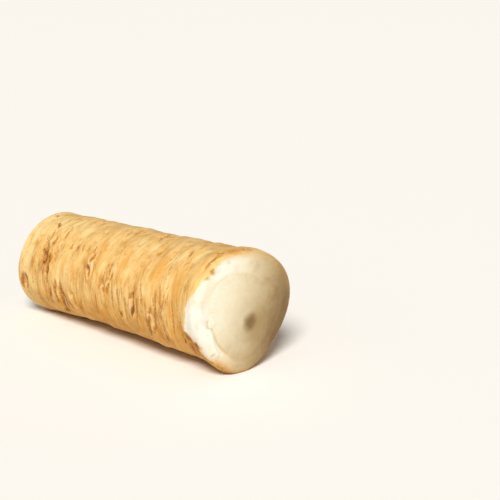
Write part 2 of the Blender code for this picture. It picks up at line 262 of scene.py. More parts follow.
root = {
    "length": 0.114,
    "thinRadius": 0.0213,
    "thickRadius": 0.0222,
    "flare": (0.0015, 0.0085),  # height and reach, at the thick cut
    "keel": (0.0016, 0.019, 262),  # height, reach and angle
    "lip": (0.0021, 0.005),  # height and reach of the keel's last bit, at its angle
    "hollow": (0.0015, 0.040, 0.032, 252),  # depth, place, reach and angle
    "thinOval": (0.0005, 30),  # height and angle, as in the next two
    "thickOval": (0.0006, -3),
    "thickLobes": (0.0009, 20),
    "lumps": (0.0004, 0.022),  # height and size
    "sag": 0.0006,  # how far the middle hangs below the ends
    "droop": 0.0009,  # how far the thick end hangs
    "restDepth": 0.0006,  # how much of the lowest bark is pressed flat
    "leanReach": 0.030,
    "thickLean": (0.110, 0.004),  # how much the cut leans, across and up
    "thinLean": (0.017, 0.029),
    "thickDome": 0.0017,
    "thinDome": 0.0006,
    "thickEdge": (0.0076, 0.0034),  # length and depth of the rounded edge
    "thinEdge": (0.0020, 0.0028),
    "edgeSweep": 80,  # degrees that an edge turns
    # growth rings: spacing along the root, reach round it and height
    "rings": (
        (0.0095, 0.030, 0.00045),
        (0.0042, 0.018, 0.00040),
        (0.0021, 0.0055, 0.00015),
        (0.0011, 0.0030, 0.00007),
    ),
    "ringSway": (0.0016, 0.016),  # how far the rings wander, and over what size
    "thinFade": 0.0030,  # the bark's relief fades out this far from a cut
    "thickFade": 0.0080,
    # scars of side roots that the photo shows: the pixel at the middle of each, then its length round the
    # root, width, depth and stain
    "seenScars": (
        ((57.6, 227.0), 0.0060, 0.0030, 0.0006, 0.2),
        ((53.8, 241.0), 0.0070, 0.0036, 0.0007, 0.2),
        ((45.4, 254.0), 0.0082, 0.0044, 0.0011, 1.3),
        ((46.9, 266.0), 0.0076, 0.0036, 0.0009, 0.9),
        ((54.0, 255.0), 0.0090, 0.0024, 0.0005, 0.2),
        ((24.6, 280.0), 0.0066, 0.0038, 0.0009, 0.2),
        ((56.3, 287.0), 0.0052, 0.0026, 0.0007, 0.2),
        ((63.4, 297.0), 0.0080, 0.0046, 0.0008, 0.5),
        ((71.2, 295.0), 0.0046, 0.0024, 0.0005, 0.2),
        ((73.4, 250.6), 0.0044, 0.0030, 0.0005, 0.2),
        ((93.0, 256.6), 0.0054, 0.0026, 0.0004, 0.4),
        ((88.0, 269.5), 0.0060, 0.0026, 0.0005, 0.4),
        ((107.8, 275.0), 0.0058, 0.0026, 0.0007, 0.2),
        ((102.8, 287.2), 0.0070, 0.0026, 0.0007, 0.2),
        ((121.2, 314.6), 0.0030, 0.0024, 0.0005, 0.2),
        ((132.7, 304.0), 0.0092, 0.0026, 0.0010, 0.2),
        ((152.6, 321.4), 0.0100, 0.0042, 0.0008, 0.2),
        ((162.6, 303.0), 0.0090, 0.0022, 0.0004, 0.2),
        ((219.6, 254.6), 0.0054, 0.0028, 0.0007, 0.6),
        ((195.6, 348.0), 0.0100, 0.0036, 0.0007, 0.2),
    ),
    # scars that the photo doesn't show: distance along and angle, then the same, and how flaky their edge is
    "hiddenScars": (
        (0.0240, 232, 0.0090, 0.0032, 0.0008, 0.30, 0.4),
        (0.0500, 226, 0.0070, 0.0028, 0.0006, 0.30, 0.4),
        (0.0120, 258, 0.0080, 0.0030, 0.0006, 0.30, 0.4),
        (0.0690, 262, 0.0110, 0.0034, 0.0008, 0.35, 0.4),
        (0.0405, 288, 0.0080, 0.0030, 0.0007, 0.30, 0.4),
        (0.0880, 305, 0.0090, 0.0032, 0.0008, 0.35, 0.5),
        (0.0180, 322, 0.0120, 0.0036, 0.0009, 0.40, 0.5),
        (0.0590, 338, 0.0090, 0.0028, 0.0008, 0.35, 0.5),
        (0.0330, 2, 0.0100, 0.0034, 0.0009, 0.40, 0.5),
        (0.0790, 14, 0.0120, 0.0036, 0.0009, 0.40, 0.6),
        (0.0110, 34, 0.0070, 0.0030, 0.0007, 0.30, 0.5),
        (0.0520, 46, 0.0100, 0.0034, 0.0009, 0.40, 0.5),
        (0.0950, 58, 0.0080, 0.0028, 0.0007, 0.30, 0.5),
        (0.0300, 76, 0.0110, 0.0034, 0.0009, 0.40, 0.5),
        (0.0700, 92, 0.0070, 0.0028, 0.0006, 0.30, 0.4),
    ),
    "scarLip": 0.30,
    "scarTorn": ((0.35, 0.0014), (0.25, 0.0006)),  # how uneven a scar's outline is, and at what sizes
    # how cracks and flakes fray: mm along and round of two noises, how many mm each pushes the line, and how
    # much the fine one changes its width
    "frayFine": (0.7, 1.1, 0.12, 0.42),
    "frayBroad": (1.2, 2.0, 0.25),
    # cracks: width and depth in mm and stain, then the pixels of the photo that they pass
    "cracks": (
        (1.2, 0.45, 0.90, ((59.9, 222.6), (59.2, 225), (57.2, 227.6))),
        (1.0, 0.30, 0.50, ((57.2, 227.6), (55, 230.5), (53.2, 234), (51.5, 237.5))),
        (1.4, 0.20, 0.35, ((48.2, 235), (47.4, 239.5), (47.8, 242.5))),
        (1.4, 0.25, 0.60, ((56.9, 237.6), (55.4, 240))),
        (1.3, 0.35, 0.85, ((53.7, 240.4), (53.2, 243.4))),
        (1.2, 0.30, 0.60, ((49.2, 243), (48.4, 246), (46.8, 248.8))),
        (2.8, 0.50, 1.15, ((44.2, 249.6), (45.2, 252.8), (46.6, 257.2), (45.4, 261.8))),
        (1.6, 0.45, 1.05, ((50.4, 253.6), (49.8, 257.4), (48.8, 261.2), (46.9, 265.2))),
        (1.3, 0.34, 1.20, ((42.6, 261.6), (45, 262.6))),
        (1.9, 0.55, 1.35, ((46.8, 264.5), (46.9, 269), (46.7, 274.6))),
        (1.8, 0.25, 0.42, ((46.3, 274), (46.6, 279.5), (47.6, 285))),
        (0.6, 0.22, 0.50, ((52.5, 245), (52.2, 251), (51.6, 257), (50.8, 264))),
        (0.6, 0.20, 0.42, ((54.7, 249), (54, 255), (53, 261), (51.8, 267))),
        (0.8, 0.22, 0.55, ((62.6, 243.4), (61, 245.8))),
        (0.7, 0.22, 0.48, ((59.2, 248.8), (57.4, 251.4), (56, 256), (54.8, 262.5))),
        (1.2, 0.25, 0.55, ((58.5, 214.6), (57.4, 216.6))),
        (1.2, 0.20, 0.35, ((55.2, 218.4), (52, 220.6), (48.6, 222.9))),
        (2.2, 0.15, 0.28, ((33.6, 231.5), (32.4, 235.5), (31.6, 239.5))),
        (1.1, 0.28, 0.50, ((73.2, 226), (71.4, 229), (69, 231.9), (66.4, 235), (64.6, 239.5))),
        (1.4, 0.25, 0.55, ((71.9, 245.2), (71.6, 248.2))),
        (1.8, 0.20, 0.35, ((72.4, 250), (72.2, 254), (71, 258.5))),
        (1.4, 0.28, 0.60, ((79.2, 244), (78.2, 247.5), (76.5, 250.8))),
        (1.0, 0.15, 0.25, ((75.8, 252.5), (74.2, 258.5), (72.4, 263), (71.2, 269), (70.2, 276))),
        (1.0, 0.20, 0.42, ((84.3, 243.8), (83.2, 247.4), (82, 251.8))),
        (1.3, 0.40, 1.05, ((25.5, 273.2), (26.8, 277), (27.2, 281), (27.4, 284.5), (27.5, 287.6))),
        (1.2, 0.30, 0.80, ((22.9, 272.6), (22.1, 276), (22.2, 280), (23, 284), (25, 288.4))),
        (0.9, 0.22, 0.48, ((55.2, 279), (55.4, 284), (54.6, 290))),
        (1.2, 0.40, 0.80, ((55.4, 290.6), (56.4, 295.2), (57.6, 299.4), (58.8, 303.4))),
        (1.0, 0.35, 0.75, ((59.4, 281), (60.3, 285.5), (61.2, 290), (60.6, 296))),
        (1.3, 0.45, 0.92, ((61.8, 296), (63, 300.5), (65.8, 305), (68, 308.5), (70.4, 311.5))),
        (1.2, 0.35, 0.80, ((50.2, 288.6), (50.8, 293), (50.9, 296.6))),
        (1.3, 0.20, 0.45, ((49.5, 297), (48.3, 301.4))),
        (1.6, 0.15, 0.28, ((37.6, 290), (40.2, 296), (42.2, 299.6), (43.4, 303))),
        (1.2, 0.20, 0.40, ((72.8, 296), (73.6, 301), (74.6, 305.5))),
        (1.3, 0.22, 0.42, ((96, 247.2), (94.2, 250.8), (93.2, 253.6))),
        (1.2, 0.40, 0.80, ((94.3, 254.2), (93.8, 257.2))),
        (1.2, 0.40, 0.85, ((92.6, 256.4), (91, 259), (90, 260.6))),
        (0.8, 0.20, 0.35, ((94, 251.4), (92, 255), (90.4, 258))),
        (1.3, 0.50, 1.00, ((87.1, 265), (87.4, 268.6))),
        (1.4, 0.40, 0.78, ((87.6, 268.4), (88, 272), (88.2, 275.8))),
        (1.2, 0.20, 0.35, ((88.2, 276), (87.9, 281), (87.4, 286))),
        (0.9, 0.18, 0.38, ((94.6, 261), (93.8, 265), (92.4, 270))),
        (1.0, 0.25, 0.48, ((112.5, 262.6), (111.4, 266), (109.8, 269.6))),
        (1.2, 0.35, 0.85, ((109.4, 270.6), (108.3, 274.2))),
        (1.1, 0.25, 0.52, ((106.6, 276.8), (106, 279.8))),
        (1.0, 0.30, 0.70, ((112.2, 272.4), (111.2, 276.8), (109.3, 281.6))),
        (1.0, 0.28, 0.58, ((108.6, 283.4), (107.4, 288))),
        (0.8, 0.20, 0.38, ((105.8, 266.6), (104.4, 272), (103, 277.4), (101.6, 283.4))),
        (1.1, 0.28, 0.65, ((103, 287.4), (102, 291.2))),
        (1.6, 0.25, 0.70, ((106.9, 288), (106.6, 292.6))),
        (1.2, 0.25, 0.42, ((134.4, 286), (133.8, 290), (133, 294))),
        (0.85, 0.60, 1.80, ((132.9, 292.4), (133, 301), (132.8, 307.6), (132.3, 316.2))),
        (1.6, 0.20, 0.60, ((132.4, 292.6), (130.8, 295.4), (129.2, 298.4))),
        (1.2, 0.20, 0.42, ((129.6, 316.2), (129.8, 319.4))),
        (1.5, 0.35, 0.70, ((121.2, 312.4), (121.2, 316.8))),
        (1.0, 0.18, 0.35, ((119.6, 289), (118.4, 296), (117.6, 303), (117, 309))),
        (1.4, 0.30, 0.60, ((151, 307.6), (149.4, 310.4), (148.6, 315.2))),
        (1.3, 0.38, 0.78, ((148.6, 316.4), (149.2, 323.6), (150.4, 330.2), (151.8, 336))),
        (1.4, 0.22, 0.50, ((154.2, 297), (153.6, 302), (153.7, 307))),
        (1.2, 0.35, 0.72, ((153.8, 307), (154.6, 313), (154.8, 320), (155, 327), (155.4, 333.6))),
        (0.8, 0.28, 0.55, ((164, 294), (162.6, 300), (161.4, 307), (161, 314), (161.2, 321.5))),
        (0.8, 0.25, 0.48, ((168.2, 292.4), (166.4, 298), (165.2, 304), (164.4, 310))),
        (1.0, 0.20, 0.48, ((167.8, 286.2), (166.4, 288.8))),
        (1.0, 0.20, 0.42, ((162.8, 322), (163.8, 328), (165.2, 334))),
        (1.1, 0.35, 0.78, ((166.4, 335), (168, 339), (170, 342.4))),
        (1.1, 0.25, 0.52, ((193.5, 249.8), (191.4, 253), (189.2, 256), (187.2, 259))),
        (1.0, 0.15, 0.28, ((208.6, 243), (204.4, 246), (200.2, 248.4), (196, 250))),
        (1.8, 0.20, 0.50, ((160.8, 251.8), (158, 255))),
        (1.0, 0.28, 0.62, ((224.6, 251.6), (220, 253.2), (216.6, 252.6))),
        (
            1.0, 0.30, 0.62,
            ((222.4, 254.6), (216.6, 257), (214, 259.6), (210, 262.6), (206.4, 267), (203.4, 272)),
        ),
        (1.0, 0.20, 0.72, ((213.4, 270), (211.2, 273.2))),
        (1.0, 0.20, 0.62, ((208.4, 277.4), (206.4, 279.6))),
        (3.0, 0.30, 0.72, ((184.6, 334.2), (187.4, 337.6), (190, 341.4))),
        (0.9, 0.32, 1.10, ((185.3, 339.6), (186, 343))),
        (2.2, 0.30, 0.60, ((190.4, 342), (192.2, 346.4), (194, 350.4), (196.6, 354))),
        (1.0, 0.38, 1.15, ((196.2, 342.8), (196, 346.2))),
        (2.0, 0.30, 0.75, ((195, 351), (198.2, 354.6), (202, 357.2))),
        (1.0, 0.25, 0.70, ((191, 345), (193.4, 348.8), (195.2, 352.4))),
        (1.0, 0.12, 0.60, ((211.6, 356.4), (213.6, 354.6))),
        (1.0, 0.30, 0.75, ((54, 282), (55, 292), (58, 300))),
        (1.2, 0.35, 0.95, ((61, 284), (61, 292), (65, 299), (70, 307))),
        (0.9, 0.25, 0.65, ((66, 296), (71, 304), (76, 311))),
        (1.0, 0.28, 0.70, ((50, 290), (51, 298), (54, 304))),
        (0.7, 0.20, 0.55, ((72, 292), (74, 300), (78, 308))),
        (0.7, 0.15, 0.52, ((80, 298), (84, 310))),
        (0.7, 0.15, 0.55, ((84, 262), (85, 272), (87, 285))),
        (0.7, 0.14, 0.60, ((137, 298), (137, 312), (139, 326))),
        (0.7, 0.14, 0.60, ((117, 284), (118, 300), (121, 316))),
        (0.7, 0.14, 0.55, ((145, 298), (146, 314), (149, 330))),
        (0.7, 0.12, 0.52, ((141, 280), (141, 296), (142, 310))),
        (0.7, 0.14, 0.58, ((160, 284), (160, 298), (160, 312))),
        (0.7, 0.14, 0.62, ((155, 288), (155, 304), (157, 320))),
        (0.7, 0.12, 0.55, ((172, 300), (173, 318), (176, 336))),
        (0.7, 0.12, 0.50, ((180, 310), (181, 326), (184, 340))),
        (0.7, 0.12, 0.52, ((125, 296), (126, 312), (130, 326))),
        (0.7, 0.12, 0.52, ((95, 290), (97, 306), (100, 316))),
        (0.7, 0.12, 0.50, ((112, 280), (112, 296), (115, 312))),
        (2.0, 0.20, 1.00, ((192.8, 347.6), (195.2, 351.6), (198, 355.2))),
        (1.4, 0.20, 1.05, ((196.6, 348.4), (198.8, 352.6))),
        (1.5, 0.15, 0.95, ((185.2, 335), (187, 337.2), (189.2, 339.8))),
        (1.6, 0.15, 0.85, ((196.6, 345.6), (199.2, 348.2))),
    ),
    # the brown line over the top of the cut: the same, but passing places in mm along and degrees
    "topLine": (2.4, 0.04, 0.42, ((111.8, 72), (111.4, 88), (111.2, 100), (111, 106))),
    # torn flakes of bark that stand a little proud: width, height and lightness, then their pixels
    "flakes": (
        (1.2, 0.20, 0.65, ((51.6, 239.6), (51.2, 243.2), (51.8, 245.8))),
        (1.2, 0.18, 0.55, ((58.4, 228.2), (56.2, 232), (54.6, 235.2))),
        (1.6, 0.14, 0.50, ((62.2, 223.6), (62.7, 227.4))),
        (1.2, 0.18, 0.60, ((64, 240.1), (61, 242.4), (58.4, 244.6))),
        (1.2, 0.16, 0.55, ((61.7, 247.6), (60.2, 251.5), (58.8, 256.2))),
        (1.2, 0.14, 0.40, ((35.8, 233.6), (34.6, 238.4))),
        (1.4, 0.16, 0.55, ((74.8, 243.4), (74, 247.8))),
        (1.2, 0.14, 0.40, ((81.5, 245.6), (80.4, 252.2))),
        (0.9, 0.20, 0.80, ((57.8, 280.6), (58, 286.6))),
        (1.2, 0.16, 0.50, ((58.2, 288), (58.6, 293), (59.6, 298))),
        (1.1, 0.18, 0.75, ((64.6, 297.6), (66.4, 303.4))),
        (1.2, 0.16, 0.60, ((70.6, 295.6), (71, 302))),
        (1.2, 0.16, 0.60, ((51.6, 297.6), (53.4, 303))),
        (1.0, 0.12, 0.40, ((43.4, 273.4), (43.4, 279.4))),
        (1.2, 0.14, 0.50, ((89.2, 257.2), (87.8, 261.2))),
        (1.6, 0.18, 0.70, ((91.4, 262.6), (91, 267), (91.4, 270.4))),
        (1.0, 0.18, 0.80, ((108, 278.4), (107, 283), (106.2, 286.4))),
        (0.9, 0.16, 0.60, ((102.2, 284.4), (101, 288.6), (100.6, 291.4))),
        (1.1, 0.20, 0.90, ((129.8, 299), (129.8, 306), (129.5, 312.8))),
        (1.1, 0.18, 0.80, ((134.8, 300), (134.9, 308), (134.6, 314.4))),
        (1.3, 0.18, 0.60, ((151.8, 314), (152.2, 322.4), (153.2, 330.4))),
        (0.8, 0.20, 0.90, ((165.5, 295), (163.8, 302), (162.9, 309), (162.4, 318))),
        (1.0, 0.16, 0.50, ((169.4, 334), (171.9, 340))),
        (1.1, 0.14, 0.50, ((217.6, 250.8), (224, 250.2))),
        (1.2, 0.16, 0.50, ((186.8, 340.8), (187.2, 343.6), (188.4, 346.4))),
        (1.2, 0.18, 0.85, ((52.4, 291), (53.8, 296.6), (55.4, 301.6))),
        (1.2, 0.18, 0.85, ((67.6, 291), (69.8, 297.2), (72.6, 303.6))),
        (1.0, 0.16, 0.75, ((65.6, 297.2), (67.4, 303.4), (69.6, 308.2))),
    ),
    # patches of other colour: their pixel, half length along and round in mm, orange above 0 and pale below
    "tints": (
        ((46.5, 256), 2.4, 5.0, 0.35),
        ((48.5, 264), 2.4, 3.6, 0.30),
        ((47, 277), 2.0, 5.0, 0.35),
        ((54, 257), 3.0, 6.0, 0.25),
        ((24.5, 281), 1.6, 3.2, 0.60),
        ((47.5, 291), 2.4, 4.0, 0.45),
        ((62, 304), 5.0, 3.2, 0.80),
        ((42, 303), 3.0, 2.4, 0.60),
        ((101, 248), 3.4, 4.0, 0.75),
        ((88.5, 273), 2.2, 3.0, 0.50),
        ((99, 258.5), 2.0, 3.0, 0.50),
        ((126.5, 261.5), 2.2, 2.6, 0.60),
        ((120.6, 285), 1.2, 4.0, 0.70),
        ((106.4, 300), 1.4, 6.0, 0.70),
        ((105, 314), 3.6, 4.0, 0.70),
        ((95, 297), 1.4, 5.0, 0.50),
        ((92, 315), 5.0, 2.6, 0.80),
        ((163.5, 266), 2.6, 3.6, 0.85),
        ((153, 272), 2.6, 3.6, 0.55),
        ((177, 297.5), 1.8, 2.6, 0.70),
        ((144, 302), 1.6, 2.4, 0.60),
        ((143, 318), 1.6, 3.0, 0.60),
        ((142, 329), 2.0, 2.6, 0.60),
        ((152, 310), 1.6, 2.4, 0.60),
        ((172, 316), 1.4, 2.6, 0.50),
        ((181, 331), 1.6, 3.0, 0.50),
        ((191, 344), 3.0, 4.0, 0.80),
        ((176, 347), 2.4, 2.4, 0.50),
        ((223, 368.5), 2.0, 2.0, 0.45),
        ((31, 252), 3.0, 4.0, -0.70),
        ((28, 262), 2.2, 6.0, -0.60),
        ((34, 282), 3.0, 5.0, -0.50),
        ((60, 262), 2.4, 4.0, -0.50),
        ((66, 270), 3.0, 6.0, -0.50),
        ((104, 264), 2.6, 5.0, -0.60),
        ((114, 271), 2.6, 5.0, -0.50),
        ((102.5, 297), 1.6, 4.0, -0.60),
        ((115, 291), 1.8, 4.0, -0.60),
        ((128.5, 272), 2.2, 4.0, -0.60),
        ((125.5, 297), 1.8, 4.0, -0.50),
        ((142, 288), 2.0, 4.0, -0.70),
        ((165.5, 284), 2.0, 4.0, -0.70),
        ((155, 247), 3.0, 5.0, -0.60),
        ((174, 262), 2.2, 4.0, -0.60),
        ((184, 256), 2.2, 4.0, -0.50),
        ((143, 241), 3.0, 4.0, -0.50),
        ((199, 259), 2.4, 3.0, -0.60),
        ((209, 252), 2.0, 3.0, -0.60),
        ((193, 279), 1.8, 4.0, -0.50),
    ),
    # broader ones: mm along and degrees, then the same
    "broadTints": (
        (59.0, 178, 1.3, 4.5, 0.90),
        (109.0, 103, 2.6, 2.6, 0.70),
        (57.0, 194, 1.6, 5.0, 0.90),
        (53.0, 211, 3.0, 4.0, 0.60),
        (51.4, 196, 2.0, 3.6, 0.60),
        (22.0, 181, 1.4, 5.5, 0.65),
        (18.8, 199, 2.2, 4.0, 0.50),
        (93.0, 147, 2.0, 2.4, -0.60),
        (99.0, 178, 2.6, 7.0, 0.60),
        (84.0, 130, 3.0, 4.0, 0.55),
        (94.0, 165, 5.0, 6.0, 0.30),
        (100.0, 206, 2.0, 2.4, -0.50),
        (111.5, 97, 2.5, 8.0, 0.55),
        # the next four pale patches over the top by the thin end are painted light
        (14.0, 108, 5.0, 6.0, -0.50),
        (24.0, 104, 5.0, 6.0, -0.50),
        (34.0, 110, 5.0, 6.0, -0.45),
        (6.0, 118, 4.0, 6.0, -0.40),
    ),
    "loose": (3, 0.0022, 0.0040),  # cracks round each scar at the back: how many, and how far off
    "strewn": (70, 30, 44),  # how many more cracks, flakes and patches lie over the back
    "backSpan": (3, 109, 228, 462),  # mm along and degrees between which they lie
    # where the bark stops at the thick end: pixels of the photo, and degrees and mm along where it is hidden
    "seenSkinEdge": (
        (246, 252.8), (240, 254), (234, 255), (228, 256), (225, 258), (222, 260.6),
        (219.5, 263.4), (217, 266), (215, 270), (212.6, 274), (209, 277), (206, 279),
        (202, 281), (198, 287.5), (195, 291.5), (192, 296), (189, 299), (186.4, 303),
        (185.2, 308), (184.8, 314), (184, 322), (184.3, 328), (184.6, 331), (187, 332.6),
        (189.6, 335), (191.6, 338.4), (193.6, 341.6), (196, 343.6), (198.6, 346.6), (199.8, 350.4),
        (201.6, 353.6), (205, 357), (209.6, 360.2), (214, 362.8), (219, 364.6), (223, 367),
        (226, 370),
    ),
    "hiddenSkinEdge": ((20, 113.5), (60, 112.6), (248, 113.2), (256, 113.4), (290, 113.6), (330, 113.7)),
    "thinSkinEdge": 0.45,  # mm along, at the thin end
    "skinRagged": ((0.0005, 0.0022), (0.0003, 0.0008)),  # how far bites go into the border, and their sizes
    "skinStep": 0.00010,
    "skinBevel": (-0.0003, 0.0002),  # distances inside the border where the step starts and ends
    "marksEnd": (0.82, 0.88),  # shares of the radius between which the bark's marks fade out on a cut
    # the ring between core and rind in the cuts: pixels, then degrees and share of the radius where hidden
    "seenRing": (
        (263.5, 283), (247, 274), (225.5, 277.5), (217.2, 283.6), (212.6, 291.8), (209.6, 301.5),
        (208.8, 311), (209.2, 320), (213, 331), (218, 344), (227, 353.5),
    ),
    "hiddenRing": ((20, 0.62), (258, 0.74), (290, 0.72), (330, 0.66)),
    "cambiumGroove": (0.00009, 0.036),  # depth, and width as a share of the radius
    "cutGrain": (0.00006, 0.0030),  # height and size
    "tearSway": (0.0002, 0.0010),
    # tears by the ring in the thick cut: height and width in mm, then painted light, a highlight above 0 and
    # a shadow below, then the pixels they pass
    "cutTears": (
        (0.35, 0.50, 1.0, ((209.5, 331), (211.5, 337), (213, 344), (214.5, 350), (217, 355))),
        (0.20, 0.55, 0.8, ((210.4, 318), (212.2, 321), (213.6, 324))),
        (-0.22, 0.50, -0.6, ((213, 331), (215.5, 338), (218, 344), (222, 349.5), (227, 353.5))),
        (-0.20, 0.50, -0.9, ((207.6, 322), (207.2, 326), (208.6, 329), (211.6, 329.6))),
    ),
    # painted shade over the cut, darker across and down: shares across and up, and how much lighter the rind
    # is than the core
    "cutShadeAndRind": (1.0, -0.43, 0.30),
    # tan and painted shade of the cut's rim, the shade where its edge turns away from the light: the shares
    # of the radius where it starts and is full, how much further in it starts at some angles and how sharply,
    # and its amount by degrees
    "rimReach": (0.85, 0.955),
    "rimWider": ((0.13, 45, 3), (0.06, 250, 4)),
    "rimTanAndShade": (
        (15, 0.50), (45, 0.45), (70, 0.70), (95, 1.00), (106, 1.00), (115, 0.55), (124, 0.0),
        (224, 0.0), (236, 0.90), (246, 1.00), (262, 0.50), (280, 0.40), (305, 0.35), (340, 0.40),
    ),
    "pithPixel": (251, 322),
    "haloPixel": (257, 324.5),
    "pithDimple": (0.0022, 0.00020),  # width and depth
    # the mesh: points round it, and rows along its side, round its edges and across its cuts
    "sides": 240,
    "sideRows": 312,
    "thinEdgeRows": 12,
    "thickEdgeRows": 30,
    "thinFaceRows": 10,
    "thickFaceRows": 42,
    "meanRadius": 0.0218,
}


def bell(distance, reach):
    return math.exp(-((distance / reach) ** 2))


def smoothStep(low, high, value):
    share = min(1.0, max(0.0, (value - low) / (high - low)))
    return share * share * (3 - 2 * share)


def grit(place, forms):
    # noises of several heights and sizes together
    return sum(height * noise.noise(place / size) for height, size in forms)


def facing(angle, towards, power):
    return max(0.0, math.cos(angle - math.radians(towards))) ** power


def lobed(angle, lobes, form):
    return form[0] * math.cos(lobes * (angle - math.radians(form[1])))


def turnFrom(angle, degrees):
    # the shortest turn from an angle in degrees to one in radians
    return (angle - math.radians(degrees) + math.pi) % (2 * math.pi) - math.pi


def roundTable(table, angle):
    # a value that the table gives at some angles, eased between them all the way round
    degrees = math.degrees(angle) % 360
    before = table[-1]
    beforeAngle = before[0] - 360
    for after in table + ((table[0][0] + 360, table[0][1]),):
        if degrees <= after[0]:
            return before[1] + (after[1] - before[1]) * smoothStep(beforeAngle, after[0], degrees)
        before = after
        beforeAngle = after[0]
    return before[1]


def bodyRadius(along, angle):
    ripeness = along / root["length"]
    toCut = root["length"] - along
    radius = root["thinRadius"] + (root["thickRadius"] - root["thinRadius"]) * ripeness
    radius += lobed(angle, 2, root["thinOval"]) * (1 - ripeness)
    radius += lobed(angle, 2, root["thickOval"]) * ripeness
    radius += lobed(angle, 3, root["thickLobes"]) * ripeness**3
    depth, middle, reach, towards = root["hollow"]
    radius -= depth * bell(along - middle, reach) * facing(angle, towards, 2)
    radius += root["flare"][0] * bell(toCut, root["flare"][1])
    radius += root["keel"][0] * bell(toCut, root["keel"][1]) * facing(angle, root["keel"][2], 6)
    radius += root["lip"][0] * bell(toCut, root["lip"][1]) * facing(angle, root["keel"][2], 4)
    place = Vector((along, root["thinRadius"] * math.cos(angle), root["thinRadius"] * math.sin(angle)))
    return radius + grit(place, (root["lumps"],))


def ringHeight(along, angle):
    around = Vector((0.0, root["thinRadius"] * math.cos(angle), root["thinRadius"] * math.sin(angle)))
    sway, swaySize = root["ringSway"]
    swayed = along + sway * noise.noise((around + Vector((along, 0.0, 0.0))) / swaySize)
    height = 0.0
    for spacing, reach, rise in root["rings"]:
        height += rise * noise.noise(around / reach + Vector((swayed / spacing, 0.0, 0.0)))
    return height


def rimShare(edge, radius):
    return 1 - edge[1] / radius * (1 - math.cos(math.radians(root["edgeSweep"])))


def edgeShare(inset, edge, radius):
    # share of the radius at some distance from the cut, on its rounded edge
    sweep = math.radians(root["edgeSweep"])
    turn = math.asin(math.sin(sweep) * max(0.0, 1 - inset / edge[0]))
    return 1 - edge[1] / radius * (1 - math.cos(turn))


def edgeRun(inset, share, edge, radius):
    # how far a point lies past the start of a rounded edge, measured over its surface
    if inset >= edge[0]:
        return edge[0] - inset
    return math.hypot(edge[0] - inset, (1 - share) * radius)


def fromBorder(border, inset, share, edge, radius):
    # distance over the surface from the bark's border to a point, both given by how far the cut is
    start = edgeRun(border, edgeShare(border, edge, radius), edge, radius)
    return start - edgeRun(inset, share, edge, radius)


def barkReach(along, share, angle):
    # distance inside the bark's border, below 0 on the bare flesh
    length, radius = root["length"], root["thinRadius"]
    border = length - roundTable(marks["skinEdge"], angle) / 1000
    thick = fromBorder(border, length - along, share, root["thickEdge"], root["thickRadius"])
    thin = fromBorder(root["thinSkinEdge"] / 1000, along, share, root["thinEdge"], radius)
    place = Vector((along, share * radius * math.cos(angle), share * radius * math.sin(angle)))
    return min(thick, thin) + grit(place, root["skinRagged"])


def scarMarks(along, angle, scar):
    # height, stain and flakes that one scar gives a point
    scarAlong, scarAngle, length, width, depth, stain, flakes = scar
    around = turnFrom(angle, scarAngle) * root["thinRadius"]
    if abs(along - scarAlong) > 2.5 * width or abs(around) > 2.5 * length:
        return 0.0, 0.0, 0.0
    place = Vector((along, around, scarAlong))
    out = math.hypot(around / (length / 2), (along - scarAlong) / (width / 2))
    height = depth * (root["scarLip"] * bell(out - 1.2, 0.5) - bell(out, 0.75))
    torn = out + grit(place, root["scarTorn"])
    return height, stain * 0.65 * bell(torn, 0.9), flakes * 0.6 * bell(torn - 1.1, 0.35)


def tracedPath(mark):
    # a crack's or flake's line as pieces in mm, with the stretch that it can touch
    width, height, strength, points = mark
    first = points[0][1]
    spots = [(point[0], math.radians(point[1] - first) * root["meanRadius"] * 1000) for point in points]
    pieces = []
    run = 0.0
    for (x, y), (nextX, nextY) in zip(spots, spots[1:]):
        stepX, stepY = nextX - x, nextY - y
        long = max(1e-3, math.hypot(stepX, stepY))
        pieces.append((x, y, stepX, stepY, long, run))
        run += long
    reach = 2.2 * width + 0.5
    return {
        "first": first,
        "along": (min(spot[0] for spot in spots) - reach, max(spot[0] for spot in spots) + reach),
        "around": (min(spot[1] for spot in spots) - reach, max(spot[1] for spot in spots) + reach),
        "pieces": pieces,
        "run": run,
        "width": width,
        "height": height,
        "strength": strength,
    }


def pathMarks(along, angle, path):
    # how much of a crack or flake a point has, from 1 on its line to 0 beside it, in relief and in colour
    y = turnFrom(angle, path["first"]) * root["meanRadius"] * 1000
    if not path["around"][0] < y < path["around"][1]:
        return 0.0, 0.0
    x = along * 1000
    fineAlong, fineAround, finePush, fineWidth = root["frayFine"]
    broadAlong, broadAround, broadPush = root["frayBroad"]
    uneven = noise.noise(Vector((x / fineAlong, y / fineAround, path["first"])))
    x += broadPush * noise.noise(Vector((x / broadAlong, y / broadAround, path["first"]))) + finePush * uneven
    nearest = 1e9
    passed = 0.0
    for startX, startY, stepX, stepY, long, before in path["pieces"]:
        share = min(1.0, max(0.0, ((x - startX) * stepX + (y - startY) * stepY) / long**2))
        distance = math.hypot(x - startX - stepX * share, y - startY - stepY * share)
        if distance < nearest:
            nearest = distance
            passed = before + share * long
    # it tapers to its ends, and frays
    toEnd = min(passed, path["run"] - passed)
    full = smoothStep(-0.8, min(2.4, 0.35 * path["run"]), toEnd)
    width = path["width"] * (0.48 + 0.66 * full) * (1 + fineWidth * uneven)
    kept = 0.60 + 0.40 * full
    return kept * bell(nearest, width * 0.5), kept * bell(nearest, width * 0.6)


